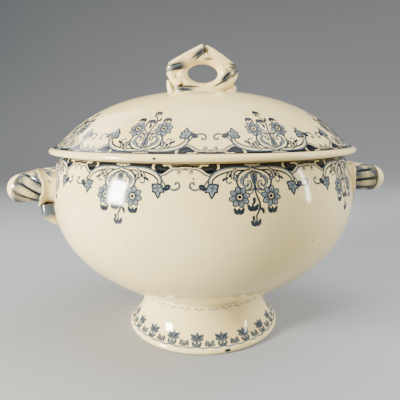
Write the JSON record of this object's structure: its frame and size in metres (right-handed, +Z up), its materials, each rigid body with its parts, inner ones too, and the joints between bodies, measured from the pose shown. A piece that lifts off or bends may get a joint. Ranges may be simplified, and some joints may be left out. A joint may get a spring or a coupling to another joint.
{
  "type": "soup tureen",
  "caption": "Round lidded soup tureen on a spreading foot, with loop handles at the shoulder, a domed lift-off lid and an openwork twig finial.",
  "frame": {"origin": "centre of the foot's base, on the surface the tureen stands on", "axes": "+X towards the right handle, along the line through both handles; +Z up, along the tureen's axis; the front faces -Y"},
  "size_m": [0.2968, 0.24, 0.2335],
  "materials": {
    "ivory_glaze": "clear gloss glaze over cream earthenware, faint crazing and tan staining",
    "blue_touched_glaze": "the same glaze with slate-blue brushed into the grooves and cut ends",
    "blue_print": "underglaze transfer print in slate and navy blue, as glossy as the glaze round it"
  },
  "bodies": {
    "tureen": {"bowl": "ivory_glaze", "foot": "ivory_glaze", "handle_left_loop": "blue_touched_glaze", "handle_left_front_collar": "ivory_glaze", "handle_left_rear_collar": "ivory_glaze", "handle_left_front_leaf": "blue_touched_glaze", "handle_left_rear_leaf": "blue_touched_glaze", "handle_right_loop": "blue_touched_glaze", "handle_right_front_collar": "ivory_glaze", "handle_right_rear_collar": "ivory_glaze", "handle_right_front_leaf": "blue_touched_glaze", "handle_right_rear_leaf": "blue_touched_glaze"},
    "lid": {"lid_dome": "ivory_glaze", "lid_flange": "ivory_glaze", "finial_twig_left": "blue_touched_glaze", "finial_twig_right": "blue_touched_glaze", "finial_leaf_left": "blue_touched_glaze", "finial_leaf_right": "blue_touched_glaze"}
  },
  "joints": [
    {"name": "lid_lift", "type": "slide", "parent": "tureen", "child": "lid", "axis": [0, 0, 1], "range_m": [0, 0.12]}
  ]
}
